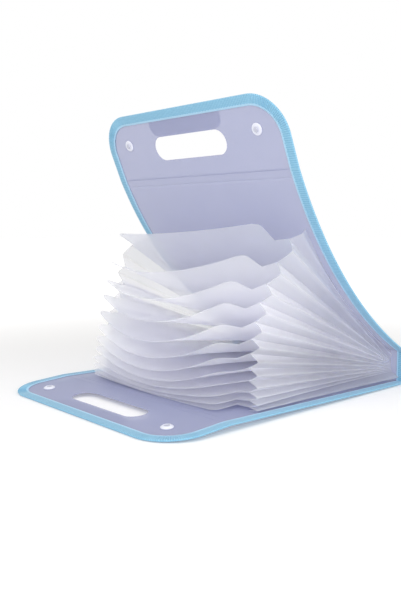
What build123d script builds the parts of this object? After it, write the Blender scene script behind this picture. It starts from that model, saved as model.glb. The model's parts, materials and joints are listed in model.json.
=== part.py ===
from build123d import *

import os
from math import asin, cos, degrees, radians, sin, sqrt

# An accordion file folder stands open on its back cover.
# X runs from the grip end to the spine, Y along the spine, Z up from the table.
# Each cover is one plastic sheet with a sewn tape binding and a grip slot, and a fan of
# dividers hangs between two pleated side gussets.

# Covers and spine
folder_width = 250.0  # along the spine, over the binding
cover_length = 316.0  # grip end to spine, over the binding
closed_height = 34.0  # over both covers when the folder is shut
sheet_wall = 0.6
corner_radius = 38.0
flap_length = 67.0  # grip end to the fold crease
crease_spacing = 8.0  # fold crease to the score line beside it
score_depth = 0.2
hinge_clearance = 0.15

# Pose of the open covers, with angles in degrees
back_crease_lift = 4.4  # rise of the back cover from the spine to its fold crease
front_base_angle = 28.0  # rise of the cover where it leaves the spine
front_bend_angle = 35.4  # further turn from the spine to the fold crease
front_flap_angle = 4.0  # further turn at the fold crease

# Tape binding, folded over the edge of the sheet
binding_wall = 0.6
binding_width = 10.0

# Grip slot, whose cut-out is folded back over its outer edge
slot_length = 100.0
slot_height = 23.5
slot_from_end = 37.4
grip_clearance = 0.5

# Press studs
snap_from_side = 35.0
snap_from_end = 30.4
snap_diameter = 11.0
snap_wall = 1.0
snap_edge_chamfer = 0.5
stud_neck_diameter = 4.2
stud_head_diameter = 5.0
stud_height = 2.5
socket_rim_diameter = 7.6
socket_bore_diameter = 5.2
socket_height = 1.7
socket_floor = 1.1
post_diameter = 2.6
post_height = 0.8
post_clearance = 0.1

# Dividers, numbered from the front cover down to the back cover
divider_count = 12
divider_wall = 0.35
divider_root = 6.0  # hinge line to the inner edge
mouth_from_crease = 41.1  # mouth of the pockets to the fold crease of the cover
tab_height = 26.0  # stands out of the pocket mouth
tab_inset = 14.0
tab_corner_radius = 7.0
stack_bottom = 10.6  # height of the lowest divider when the folder is shut
stack_pitch = 1.2
top_divider_angle = 37.4
bottom_divider_angle = 0.8
fan_growth_share = 1.7  # power by which the pockets widen towards the front cover

# Pleated side gussets
pleat_least_depth = 6.5  # reach of the widest pleat at the pocket mouth
pleat_edge_clearance = 0.5  # outermost fold to the edge of the cover
gusset_wall = 0.5
weld_clearance = 0.3
front_weld_share = 0.92  # reach of the gusset along the bent front cover
front_weld_count = 9  # folds drawn along the bent front cover

edge_stack = sheet_wall + 2 * binding_wall
sheet_mid = edge_stack / 2
half_width = folder_width / 2
sheet_half_width = half_width - binding_wall
sheet_gap = sheet_wall / 2 + hinge_clearance  # crease to the sheet beyond it
fold_gap = edge_stack / 2 + hinge_clearance  # crease to the bound edge beyond it
unbound_half_width = half_width - binding_width - hinge_clearance
panel_length = cover_length - flap_length - sheet_mid
pocket_depth = panel_length - mouth_from_crease
back_tilt = degrees(asin(back_crease_lift / panel_length))
foot_z = sheet_mid * (cos(radians(back_tilt)) + sin(radians(back_tilt)))
crease_z = foot_z + back_crease_lift
back_flap_drop = degrees(asin((crease_z - sheet_mid) / flap_length))
back_reach = panel_length * cos(radians(back_tilt)) + flap_length * cos(radians(back_flap_drop))
spine_x = (back_reach - sheet_mid) / 2
hinge_z = closed_height - sheet_mid
bend_radius = panel_length / radians(front_bend_angle)
slot_x = flap_length - slot_from_end

os.makedirs("parts", exist_ok=True)


def save(piece, node):
    """Label a finished sub-part and write it under its node name."""
    piece.part.label = node
    export_step(piece.part, f"parts/{node}.step")


def radial(angle):
    """Direction in X and Z of a leaf that rises by an angle from the spine to the grip end."""
    return Vector(-cos(radians(angle)), 0, sin(radians(angle)))


def above(angle):
    """Upward normal of a leaf that rises by an angle."""
    return Vector(sin(radians(angle)), 0, cos(radians(angle)))


foot = Vector(spine_x, 0, foot_z)
hinge = Vector(spine_x, 0, hinge_z)
bend_centre = hinge + above(front_base_angle) * bend_radius


def on_back_cover(length, inward):
    """Point of the back cover at a length from the spine, moved inwards off its middle."""
    return foot + radial(back_tilt) * length + above(back_tilt) * inward


def on_front_cover(length, inward):
    """Point of the bent front cover at a length from the hinge, moved inwards off its middle."""
    angle = front_base_angle + degrees(length / bend_radius)
    return bend_centre - above(angle) * (bend_radius + inward)


back_crease = on_back_cover(panel_length, 0)
front_crease = on_front_cover(panel_length, 0)
flap_rise = front_base_angle + front_bend_angle + front_flap_angle

# Flap planes start on the fold crease, run to the grip end and face into the folder
back_flap_plane = Plane(back_crease, x_dir=radial(-back_flap_drop), z_dir=above(-back_flap_drop))
front_flap_plane = Plane(front_crease, x_dir=radial(flap_rise), z_dir=above(flap_rise) * -1)


# Profiles of the covers and the spine, drawn in X and Z
def flat_profile(wall):
    """Back cover of a wall, from its rounded fold crease to the outside of the spine."""
    with BuildSketch() as profile:
        with Locations((back_crease.X, back_crease.Z)):
            Rectangle(
                panel_length + wall / 2, wall, rotation=-back_tilt, align=(Align.MIN, Align.CENTER)
            )
            Circle(wall / 2)
    return profile.sketch


def upright_profile(wall, back_profile):
    """Spine of a wall, from the back cover to its rounded hinge edge."""
    with BuildSketch() as profile:
        with Locations((spine_x, hinge_z)):
            Rectangle(wall, hinge_z - foot_z, align=(Align.CENTER, Align.MAX))
            Circle(wall / 2)
        add(back_profile, mode=Mode.SUBTRACT)
    return profile.sketch


def bent_profile(wall, gap):
    """Front cover of a wall, from a gap at the hinge to its rounded fold crease."""
    gap_angle = degrees(gap / bend_radius)
    start = 270 - front_base_angle - gap_angle
    sweep = gap_angle - front_bend_angle
    centre = (bend_centre.X, bend_centre.Z)
    with BuildSketch() as profile:
        with BuildLine():
            outside = CenterArc(centre, bend_radius - wall / 2, start, sweep)
            inside = CenterArc(centre, bend_radius + wall / 2, start, sweep)
            Line(outside @ 0, inside @ 0)
            Line(outside @ 1, inside @ 1)
        make_face()
        with Locations((front_crease.X, front_crease.Z)):
            Circle(wall / 2)
    return profile.sketch


def score(point):
    """Mark of a score line on the inner face of a cover."""
    with BuildSketch() as mark:
        with Locations((point.X, point.Z)):
            Circle(score_depth)
    return mark.sketch


def cover_panel(profile, *marks):
    """Sheet of a profile across the folder, between the folds of the binding."""
    with BuildPart() as panel:
        with BuildSketch(Plane.XZ):
            add(profile)
            for mark in marks:
                add(mark, mode=Mode.SUBTRACT)
        extrude(amount=sheet_half_width, both=True)
    return panel


def side_binding(outer, *sheets):
    """Tape folded over both side edges of the sheets, one run on each side."""
    with BuildPart() as tape:
        with BuildSketch(Plane.XZ):
            add(outer)
        extrude(amount=half_width, both=True)
        with BuildSketch(Plane.XZ):
            add(outer)
        extrude(amount=half_width - binding_width, both=True, mode=Mode.SUBTRACT)
        with BuildSketch(Plane.XZ):
            add(sheets)
        extrude(amount=sheet_half_width, both=True, mode=Mode.SUBTRACT)
    return tape


back_sheet = flat_profile(sheet_wall)
spine_sheet = upright_profile(sheet_wall, back_sheet)
back_score = score(on_back_cover(panel_length - crease_spacing, sheet_wall / 2))
back_cover = cover_panel(back_sheet, back_score)
save(back_cover, "back_cover")
back_edge = flat_profile(edge_stack)
back_binding = side_binding(back_edge, back_sheet, spine_sheet)
save(back_binding, "back_binding")

spine_panel = cover_panel(spine_sheet)
save(spine_panel, "spine_panel")
spine_binding = side_binding(upright_profile(edge_stack, back_edge), spine_sheet)
save(spine_binding, "spine_binding")

front_sheet = bent_profile(sheet_wall, fold_gap)
front_hinge_sheet = bent_profile(sheet_wall, sheet_gap) - front_sheet
front_score = score(on_front_cover(panel_length - crease_spacing, sheet_wall / 2))
with BuildPart() as front_cover:
    add(cover_panel(front_sheet, front_score).part)
    with BuildSketch(Plane.XZ):
        add(front_hinge_sheet)
    extrude(amount=unbound_half_width, both=True)
save(front_cover, "front_cover")
front_binding = side_binding(bent_profile(edge_stack, fold_gap), front_sheet)
save(front_binding, "front_binding")


# Handle flaps, drawn from the fold crease towards the grip end
def flap_face(inset):
    """Flap outline with rounded corners, drawn in from its free edges."""
    with BuildSketch() as face:
        with Locations((fold_gap, 0)):
            Rectangle(
                flap_length - fold_gap - inset,
                folder_width - 2 * inset,
                align=(Align.MIN, Align.CENTER),
            )
        fillet(face.vertices().group_by(Axis.X)[-1], corner_radius - inset)
    return face.sketch


def flap_hinge_face():
    """Strip of the flap that runs on to the crease between the bound edges."""
    with BuildSketch() as face:
        with Locations((sheet_gap, 0)):
            Rectangle(fold_gap - sheet_gap, 2 * unbound_half_width, align=(Align.MIN, Align.CENTER))
    return face.sketch


def grip_face(centre_x):
    """Rounded slot across the flap."""
    with BuildSketch() as face:
        with Locations((centre_x, 0)):
            SlotOverall(slot_length, slot_height, rotation=90)
    return face.sketch


def snap_places():
    """Centres of the two press studs on a flap, near and far."""
    along = flap_length - snap_from_end
    across = half_width - snap_from_side
    return [(along, -across), (along, across)]


def post_holes():
    """Holes that the press stud posts pass through."""
    with BuildSketch() as holes:
        with Locations(*snap_places()):
            Circle(post_diameter / 2 + post_clearance)
    return holes.sketch


flap_outline = flap_face(0)
flap_sheet = flap_face(binding_wall)
flap_hinge_strip = flap_hinge_face()
flap_inside = flap_face(binding_width)
flap_uncovered = flap_face(binding_width + grip_clearance)
grip_slot = grip_face(slot_x)
folded_grip = grip_face(slot_x + slot_height) & flap_uncovered
stud_holes = post_holes()


def handle_flap(plane):
    """Sheet of a flap with its grip slot, and the slot's cut-out folded back on the outside."""
    with BuildPart() as flap:
        with BuildSketch(plane.offset(-sheet_wall / 2)):
            add(flap_sheet)
            add(flap_hinge_strip)
            add(grip_slot, mode=Mode.SUBTRACT)
            add(stud_holes, mode=Mode.SUBTRACT)
        extrude(amount=sheet_wall)
        with BuildSketch(plane.offset(-sheet_wall / 2)):
            add(folded_grip)
        extrude(amount=-sheet_wall)
    return flap


def flap_binding(plane):
    """Tape folded over the rounded edge of a flap."""
    with BuildPart() as tape:
        with BuildSketch(plane.offset(-edge_stack / 2)):
            add(flap_outline)
            add(flap_inside, mode=Mode.SUBTRACT)
        extrude(amount=edge_stack)
        with BuildSketch(plane.offset(-sheet_wall / 2)):
            add(flap_sheet)
        extrude(amount=sheet_wall, mode=Mode.SUBTRACT)
    return tape


save(handle_flap(back_flap_plane), "back_handle_flap")
save(flap_binding(back_flap_plane), "back_flap_binding")
save(handle_flap(front_flap_plane), "front_handle_flap")
save(flap_binding(front_flap_plane), "front_flap_binding")


# Press studs, turned about an axis square to the flap
def turning_plane(flap_plane, place):
    """Plane through a press stud's axis, with its height along the flap's inward normal."""
    centre = flap_plane.from_local_coords(Vector(*place))
    return Plane(centre, x_dir=flap_plane.x_dir, z_dir=flap_plane.y_dir * -1)


def turned(plane, outline):
    """Solid turned from an outline of radius and height points."""
    with BuildPart() as piece:
        with BuildSketch(plane):
            with BuildLine():
                Polyline(*outline, close=True)
            make_face()
        revolve(axis=Axis(plane.origin, plane.y_dir))
    return piece


snap_seat = sheet_wall / 2
snap_radius = snap_diameter / 2
snap_face_radius = snap_radius - snap_edge_chamfer
post_top = snap_seat + post_height
bore_radius = post_diameter / 2 + post_clearance
bore_top = post_top + post_clearance
stud_top = snap_seat + stud_height
stud_shoulder = snap_seat + snap_wall
stud_head_low = stud_top - (stud_head_diameter - stud_neck_diameter)
socket_top = snap_seat + socket_height
socket_deep = snap_seat + socket_floor

stud_outline = [
    (bore_radius, snap_seat),
    (snap_radius, snap_seat),
    (snap_radius, stud_shoulder - snap_edge_chamfer),
    (snap_face_radius, stud_shoulder),
    (stud_neck_diameter / 2, stud_shoulder),
    (stud_neck_diameter / 2, stud_head_low - snap_edge_chamfer),
    (stud_head_diameter / 2, stud_head_low),
    (stud_neck_diameter / 2, stud_top),
    (0, stud_top),
    (0, bore_top),
    (bore_radius, bore_top),
]
socket_outline = [
    (bore_radius, snap_seat),
    (snap_radius, snap_seat),
    (snap_radius, stud_shoulder - snap_edge_chamfer),
    (snap_face_radius, stud_shoulder),
    (socket_rim_diameter / 2, socket_top),
    (socket_bore_diameter / 2, socket_top),
    (socket_bore_diameter / 2, socket_deep),
    (0, socket_deep),
    (0, bore_top),
    (bore_radius, bore_top),
]
cap_outline = [
    (0, -edge_stack / 2),
    (snap_face_radius, -edge_stack / 2),
    (snap_radius, -snap_seat),
    (post_diameter / 2, -snap_seat),
    (post_diameter / 2, post_top),
    (0, post_top),
]
for side, place in zip(("near", "far"), snap_places()):
    # The back flap is drawn in from the far side, so its sides are the other way round
    back_plane = turning_plane(back_flap_plane, (place[0], -place[1]))
    front_plane = turning_plane(front_flap_plane, place)
    save(turned(back_plane, socket_outline), f"back_snap_socket_{side}")
    save(turned(back_plane, cap_outline), f"back_snap_cap_{side}")
    save(turned(front_plane, stud_outline), f"front_snap_stud_{side}")
    save(turned(front_plane, cap_outline), f"front_snap_cap_{side}")


# Leaves: the front cover, the dividers fanned out from the hinge line, and the back cover
def divider_angle(number):
    """Rise of a divider, steeper and further apart towards the front cover."""
    rank_share = (divider_count - number) / (divider_count - 1)
    spread = top_divider_angle - bottom_divider_angle
    return bottom_divider_angle + spread * rank_share**fan_growth_share


def divider_foot(number):
    """Foot of the square from the hinge line to a divider."""
    drop = hinge_z - stack_bottom - stack_pitch * (divider_count - number)
    return hinge - above(divider_angle(number)) * drop


def leaf_point(leaf, length):
    """Point of a leaf in X and Z, where leaf 0 is the front cover and the last is the back cover."""
    if leaf == 0:
        return on_front_cover(length * front_weld_share, sheet_wall / 2 + weld_clearance)
    if leaf > divider_count:
        return on_back_cover(length, sheet_wall / 2)
    return divider_foot(leaf) + radial(divider_angle(leaf)) * length


def mouth_gap(upper_leaf):
    """Gap at the pocket mouth between a leaf and the next one down."""
    return (leaf_point(upper_leaf, pocket_depth) - leaf_point(upper_leaf + 1, pocket_depth)).length


# The film is as wide in every pleat as the widest pocket needs
pockets = range(divider_count + 1)
widest_gap = max(mouth_gap(upper_leaf) for upper_leaf in pockets)
pleat_width = sqrt(pleat_least_depth**2 + (widest_gap / 2) ** 2)
valley_y = half_width - pleat_width - gusset_wall - pleat_edge_clearance


# Dividers between the inner folds of the gussets
def divider_face():
    """Outline of a divider: full width in the pocket, with a narrower tab out of its mouth."""
    reach = 2 * (valley_y - weld_clearance)
    with BuildSketch() as face:
        with Locations((divider_root, 0)):
            Rectangle(pocket_depth - divider_root, reach, align=(Align.MIN, Align.CENTER))
        with Locations((pocket_depth, 0)):
            Rectangle(tab_height, reach - 2 * tab_inset, align=(Align.MIN, Align.CENTER))
        fillet(face.vertices().group_by(Axis.X)[-1], tab_corner_radius)
    return face.sketch


divider_outline = divider_face()
for number in range(1, divider_count + 1):
    rise = divider_angle(number)
    leaf_plane = Plane(divider_foot(number), x_dir=radial(rise), z_dir=above(rise))
    with BuildPart() as divider:
        with BuildSketch(leaf_plane):
            add(divider_outline)
        extrude(amount=divider_wall / 2, both=True)
    save(divider, f"divider_{number:02d}")


# Side gussets: film pleated outwards once between each two neighbouring leaves
def film_outline(upper_leaf, length):
    """Section of the film between two leaves: inner fold, outer fold, inner fold and back."""
    across = Vector(0, 1, 0)
    low = leaf_point(upper_leaf + 1, length) + across * valley_y
    high = leaf_point(upper_leaf, length) + across * valley_y
    # A pleat is as deep for its gap all along, so that its two sides stay flat
    widest = mouth_gap(upper_leaf)
    depth = sqrt(pleat_width**2 - (widest / 2) ** 2) * (high - low).length / widest
    inside = [low, (low + high) / 2 + across * depth, high]
    return inside + [point + across * gusset_wall for point in reversed(inside)]


def film_panel(start, end):
    """Solid of flat facets between two sections of the film."""
    facets = [Face(Wire.make_polygon(start)), Face(Wire.make_polygon(end))]
    for corner in range(len(start)):
        first, second = start[corner - 1], start[corner]
        third, fourth = end[corner], end[corner - 1]
        facets.append(Face(Wire.make_polygon((first, second, third))))
        facets.append(Face(Wire.make_polygon((first, third, fourth))))
    return Solid(Shell(facets))


def film_lengths(upper_leaf):
    """Lengths from the hinge line at which a pleat is drawn; the bent cover needs more."""
    sections = front_weld_count if upper_leaf == 0 else 2
    step = (pocket_depth - divider_root) / (sections - 1)
    return [divider_root + step * count for count in range(sections)]


with BuildPart() as far_gusset:
    for upper_leaf in pockets:
        outlines = [film_outline(upper_leaf, length) for length in film_lengths(upper_leaf)]
        for start, end in zip(outlines, outlines[1:]):
            add(film_panel(start, end))
save(far_gusset, "far_gusset")

with BuildPart() as near_gusset:
    mirror(far_gusset.part, about=Plane.XZ)
save(near_gusset, "near_gusset")
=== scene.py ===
"""Looks of the accordion file folder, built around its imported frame."""

import functools
import json
import logging
import math
from dataclasses import dataclass, field, fields
from enum import Enum
from typing import Any, Callable, Sequence

import bmesh
import bpy
import numpy as np
from mathutils import Color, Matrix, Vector

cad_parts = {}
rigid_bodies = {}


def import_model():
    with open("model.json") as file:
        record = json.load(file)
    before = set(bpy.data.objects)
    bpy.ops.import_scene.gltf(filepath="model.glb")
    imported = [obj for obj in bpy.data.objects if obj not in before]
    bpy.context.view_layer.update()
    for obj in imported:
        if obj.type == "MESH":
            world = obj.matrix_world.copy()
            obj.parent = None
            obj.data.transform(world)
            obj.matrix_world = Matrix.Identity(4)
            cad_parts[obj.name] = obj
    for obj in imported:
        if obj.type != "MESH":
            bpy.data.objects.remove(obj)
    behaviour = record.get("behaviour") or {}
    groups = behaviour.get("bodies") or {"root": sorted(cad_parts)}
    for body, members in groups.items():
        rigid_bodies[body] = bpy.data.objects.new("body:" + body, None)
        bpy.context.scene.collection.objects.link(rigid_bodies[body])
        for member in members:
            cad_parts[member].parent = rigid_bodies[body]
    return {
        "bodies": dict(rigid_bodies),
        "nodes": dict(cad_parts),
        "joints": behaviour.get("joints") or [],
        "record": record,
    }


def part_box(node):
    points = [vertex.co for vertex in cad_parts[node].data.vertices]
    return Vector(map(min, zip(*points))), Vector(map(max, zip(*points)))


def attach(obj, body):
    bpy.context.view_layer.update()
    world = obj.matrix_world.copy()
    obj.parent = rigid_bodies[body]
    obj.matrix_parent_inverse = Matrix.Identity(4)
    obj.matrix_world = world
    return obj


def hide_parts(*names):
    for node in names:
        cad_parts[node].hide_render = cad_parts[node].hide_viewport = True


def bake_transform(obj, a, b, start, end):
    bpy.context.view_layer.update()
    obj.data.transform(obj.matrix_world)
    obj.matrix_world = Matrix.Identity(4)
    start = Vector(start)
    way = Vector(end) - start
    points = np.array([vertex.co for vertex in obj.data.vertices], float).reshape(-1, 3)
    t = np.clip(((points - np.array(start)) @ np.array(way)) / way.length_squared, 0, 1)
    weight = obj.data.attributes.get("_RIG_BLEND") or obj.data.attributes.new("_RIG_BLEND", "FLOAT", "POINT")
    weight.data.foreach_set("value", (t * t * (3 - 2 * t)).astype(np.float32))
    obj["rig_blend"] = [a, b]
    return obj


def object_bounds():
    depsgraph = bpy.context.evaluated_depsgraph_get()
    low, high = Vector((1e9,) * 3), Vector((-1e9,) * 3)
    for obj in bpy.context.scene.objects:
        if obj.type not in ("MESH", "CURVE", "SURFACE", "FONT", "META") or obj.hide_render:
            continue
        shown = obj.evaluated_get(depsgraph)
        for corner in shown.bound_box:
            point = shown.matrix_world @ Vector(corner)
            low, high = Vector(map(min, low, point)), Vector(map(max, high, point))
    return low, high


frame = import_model()
CAD_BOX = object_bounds()

LOG = logging.getLogger("folder")
MM = 0.001
TOLERANCE = 1 * MM
MERGE = 0.01 * MM
SHARP = math.radians(50)
QUARTER = math.pi / 2
WHITE = (1.0, 1.0, 1.0, 1.0)
CHANNEL_MAX = 255

# Sockets of a Mix node that mixes colours.
MIX_SHARE, MIX_FIRST, MIX_SECOND, MIX_RESULT = 0, 6, 7, 2

Array = np.ndarray
Colour = tuple[float, float, float, float]
Material = bpy.types.Material
Mesh = bpy.types.Mesh
Piece = bpy.types.Object


class Side(Enum):
    """Sides of the folder across the spine."""

    NEAR = -1
    FAR = 1


class Cover(Enum):
    """Covers of the folder."""

    FRONT = "front"
    BACK = "back"


class Slot(Enum):
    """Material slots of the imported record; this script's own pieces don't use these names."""

    COVER = "cover_sheet"
    TAPE = "binding_tape"
    DIVIDER = "divider_film"
    GUSSET = "gusset_film"


def tint(red: float, green: float, blue: float) -> Colour:
    """Turn a display colour, from 0 to 255, into the linear colour that a shader takes."""
    shown = Color((red / CHANNEL_MAX, green / CHANNEL_MAX, blue / CHANNEL_MAX))
    return (*shown.from_srgb_to_scene_linear(), 1.0)


def smooth(share: Array) -> Array:
    """Ease a share from 0 to 1 with level ends."""
    held = np.clip(share, 0, 1)
    return held * held * (3 - 2 * held)


def eased(distance: Array, reach: float) -> Array:
    """Ease from 0 to 1 over a reach on both sides of the distance zero."""
    return smooth(distance / reach / 2 + 0.5)


def radial(angle: float | Array) -> Array:
    """Direction in X and Z of a leaf that rises by an angle towards the grip end."""
    return np.stack([-np.cos(angle), np.sin(angle)], axis=-1)


def above(angle: float | Array) -> Array:
    """Upward normal in X and Z of a leaf that rises by an angle."""
    return np.stack([np.sin(angle), np.cos(angle)], axis=-1)


def in_space(section: Array, across: float | Array) -> Array:
    """Join points in X and Z with their Y."""
    return np.stack(np.broadcast_arrays(section[..., 0], across, section[..., 1]), axis=-1)


def lengths_along(points: Array) -> Array:
    """Length along a line of points to each of them."""
    steps = np.linalg.norm(np.diff(points, axis=0), axis=1)
    return np.concatenate([[0.0], np.cumsum(steps)])


@dataclass(frozen=True)
class Layout:
    """Rest shape of the folder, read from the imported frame.

    Attributes:
        hinge: X and Z of the line that the front cover and the dividers turn about.
        foot: X and Z of the corner between the spine and the back cover.
        front_crease: X and Z of the front flap's fold.
        back_crease: X and Z of the back flap's fold.
        chord_angle: Rise of the line from the hinge to the front crease.
        bend_angle: Turn of the bent front cover from the hinge to its crease.
        half_width: Half the width over the tape.
        sheet_wall: Thickness of the cover sheet.
        edge_stack: Thickness of the sheet with the tape on both faces.
        flap: Length of a handle flap.
        front_flap_rise: Rise of the front flap.
        leaf_angles: Rise of each divider, from the front cover down.
        leaf_drops: Distance of each divider's plane below the hinge line.
        leaf_reach: Half the width of a divider.
        pocket_depth: Length from the hinge line to the pocket mouth.
        leaf_length: Length from the hinge line to the end of a divider's tab.
        tab_reach: Half the width of a divider's tab.
        root_gap: Gap between a divider and the inner face of the spine.
        root_ease: Length over which a divider bends beside the spine.
        crease_soft: Length over which the tape bends on each side of a fold crease.
        clear_share: Share of the pocket's depth in which the film stays clear.
        scuff_share: Share of the pocket's depth over which it turns hazy.
    """

    hinge: Array
    foot: Array
    front_crease: Array
    back_crease: Array
    chord_angle: float
    bend_angle: float
    half_width: float
    sheet_wall: float
    edge_stack: float
    flap: float
    front_flap_rise: float
    leaf_angles: tuple[float, ...]
    leaf_drops: tuple[float, ...]
    leaf_reach: float
    pocket_depth: float
    leaf_length: float
    tab_reach: float
    root_gap: float = 1 * MM
    root_ease: float = 10 * MM
    crease_soft: float = 3 * MM
    clear_share: float = 0.5
    scuff_share: float = 0.4

    @classmethod
    def read(cls, packed: dict[str, Any], bend_degrees: float) -> "Layout":
        """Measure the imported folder.

        Args:
            bend_degrees: Turn of the bent front cover, in degrees.

        Returns:
            The layout of the folder at rest.
        """
        joints = {joint["name"]: joint for joint in packed["joints"]}

        def pivot(name: str) -> Array:
            """X and Z of a joint."""
            return np.array(joints[name]["pos_m"])[[0, 2]]

        def divider(number: int) -> Array:
            """Points of a packed divider."""
            return coordinates(packed["nodes"][f"divider_{number:02d}"].data)

        hinge = pivot("front_cover_fold")
        back_crease = pivot("back_flap_fold")
        chord = math.radians(-joints["front_cover_fold"]["range_deg"][0])
        spine_low, spine_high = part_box("spine_panel")
        tape_low, tape_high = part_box("spine_binding")
        cover_low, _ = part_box("back_cover")
        flap_low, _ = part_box("back_flap_binding")
        upright_low, upright_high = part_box("front_handle_flap")
        wall = spine_high.x - spine_low.x
        stack = tape_high.x - tape_low.x
        couplings = packed["record"]["behaviour"]["couplings"]
        angles = tuple(link["ratio"] * chord for link in couplings)
        drops = []
        for number, angle in enumerate(angles, start=1):
            heights = (divider(number)[:, [0, 2]] - hinge) @ above(angle)
            drops.append(-float(heights.min() + heights.max()) / 2)
        points = divider(1)
        lengths = (points[:, [0, 2]] - hinge) @ radial(angles[0])
        across = np.abs(points[:, 1])
        reach = float(across.max())
        depth = float(lengths[across > reach - TOLERANCE].max())
        return cls(
            hinge=hinge,
            foot=np.array([hinge[0], cover_low.z + wall / 2]),
            front_crease=pivot("front_flap_fold"),
            back_crease=back_crease,
            chord_angle=chord,
            bend_angle=math.radians(bend_degrees),
            half_width=float(tape_high.y),
            sheet_wall=float(wall),
            edge_stack=float(stack),
            flap=math.hypot(back_crease[0] - flap_low.x, back_crease[1] - stack / 2),
            front_flap_rise=math.atan2(
                upright_high.z - upright_low.z, upright_high.x - upright_low.x
            ),
            leaf_angles=angles,
            leaf_drops=tuple(drops),
            leaf_reach=reach,
            pocket_depth=depth,
            leaf_length=float(lengths.max()),
            tab_reach=float(across[lengths > depth + TOLERANCE].max()),
        )

    @property
    def count(self) -> int:
        """Number of dividers."""
        return len(self.leaf_angles)

    @property
    def base_angle(self) -> float:
        """Rise of the front cover where it leaves the hinge."""
        return self.chord_angle - self.bend_angle / 2

    @property
    def bend_radius(self) -> float:
        """Radius of the bent front cover."""
        chord = np.linalg.norm(self.front_crease - self.hinge)
        return float(chord) / (2 * math.sin(self.bend_angle / 2))

    @property
    def bend_centre(self) -> Array:
        """X and Z of the middle of the front cover's bend."""
        return self.hinge + above(self.base_angle) * self.bend_radius

    @property
    def panel(self) -> float:
        """Length of a cover from the spine to its fold crease."""
        return self.bend_radius * self.bend_angle

    @property
    def grip_end(self) -> float:
        """Length of a cover from the spine to the end of its flap."""
        return self.panel + self.flap

    @property
    def back_tilt(self) -> float:
        """Rise of the back cover from the spine to its crease."""
        return math.asin((self.back_crease[1] - self.foot[1]) / self.panel)

    @property
    def back_drop(self) -> float:
        """Fall of the back flap from its crease to the table."""
        return math.asin((self.back_crease[1] - self.edge_stack / 2) / self.flap)

    def on_front(self, length: Array, inward: float | Array = 0.0) -> Array:
        """Points of the front cover.

        Args:
            length: Lengths from the hinge.
            inward: Height off the middle of the sheet, into the folder.

        Returns:
            Points in X and Z.
        """
        bent = self.base_angle + np.clip(length, None, self.panel) / self.bend_radius
        reach = self.bend_radius + np.asarray(inward)[..., None]
        return self.bend_centre - above(bent) * reach

    def front_turn(self, length: Array) -> Array:
        """Share of the cover's fold that a length of the bent sheet turns by to lie flat."""
        return (self.base_angle + length / self.bend_radius / 2) / self.chord_angle

    def front_turn_at(self, points: Array) -> Array:
        """Share of the cover's fold for points near the bent sheet.

        Args:
            points: Points in X, Y and Z.

        Returns:
            Shares from 0 to 1.
        """
        arm = self.bend_centre - points[:, [0, 2]]
        bent = np.arctan2(arm[:, 0], arm[:, 1]) - self.base_angle
        return np.clip(self.front_turn(bent * self.bend_radius), 0, 1)

    def on_cover(self, along: Array, cover: Cover) -> tuple[Array, Array]:
        """Place lengths along a cover and its flap.

        Args:
            along: Lengths from the spine.
            cover: The cover.

        Returns:
            Points in X and Z on the middle of the sheet, and the rise of the sheet there.
        """
        beyond = np.clip(along - self.panel, 0, None)[:, None]
        before = np.clip(along, None, self.panel)
        if cover is Cover.FRONT:
            point = self.on_front(before)
            rise = self.base_angle + before / self.bend_radius
            flap_rise = self.front_flap_rise
        else:
            point = self.foot + before[:, None] * radial(self.back_tilt)
            rise = np.full_like(along, self.back_tilt)
            flap_rise = -self.back_drop
        folded = eased(along - self.panel, self.crease_soft)
        return point + beyond * radial(flap_rise), rise + folded * (flap_rise - rise)

    def scuffed(self, length: Array) -> Array:
        """Haze of the film at lengths from the hinge line, from clear to scuffed at the mouth."""
        return smooth((length / self.pocket_depth - self.clear_share) / self.scuff_share)

    def leaf_point(self, number: int, length: Array, sag: Array) -> Array:
        """Points of a divider.

        Args:
            number: Divider, 1 next to the front cover.
            length: Lengths from the hinge line.
            sag: How far the points hang below the flat divider.

        Returns:
            Points in X and Z.
        """
        angle = self.leaf_angles[number - 1]
        fall = self.leaf_drops[number - 1] + sag
        return self.hinge + length[..., None] * radial(angle) - fall[..., None] * above(angle)

    def leaf_start(self, number: int) -> float:
        """Length from the hinge line to the inner edge of a divider beside the spine.

        Args:
            number: Divider, 1 next to the front cover.

        Returns:
            The length, below zero for a steep divider.
        """
        angle = self.leaf_angles[number - 1]
        back = self.sheet_wall / 2 + self.root_gap
        return (back - math.sin(angle) * self.leaf_drops[number - 1]) / math.cos(angle)

    def leaf_turn(self, number: int, length: Array, points: Array) -> Array:
        """Angle that points of a divider turn by to lie flat in the shut folder.

        Args:
            number: Divider, 1 next to the front cover.
            length: Lengths from the hinge line.
            points: Points in X and Z.

        Returns:
            Angles, at least zero and at most the divider's own. The edge at the spine stays.
        """
        arm = points - self.hinge
        drop = self.leaf_drops[number - 1]
        rise = np.arctan2(arm[..., 1], -arm[..., 0])
        flat = np.sqrt(np.clip((arm**2).sum(axis=-1) - drop**2, 0, None)) * np.sign(length)
        turn = np.clip(rise + np.arctan2(drop, flat), 0, self.leaf_angles[number - 1])
        return turn * smooth((length - self.leaf_start(number)) / self.root_ease)


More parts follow.
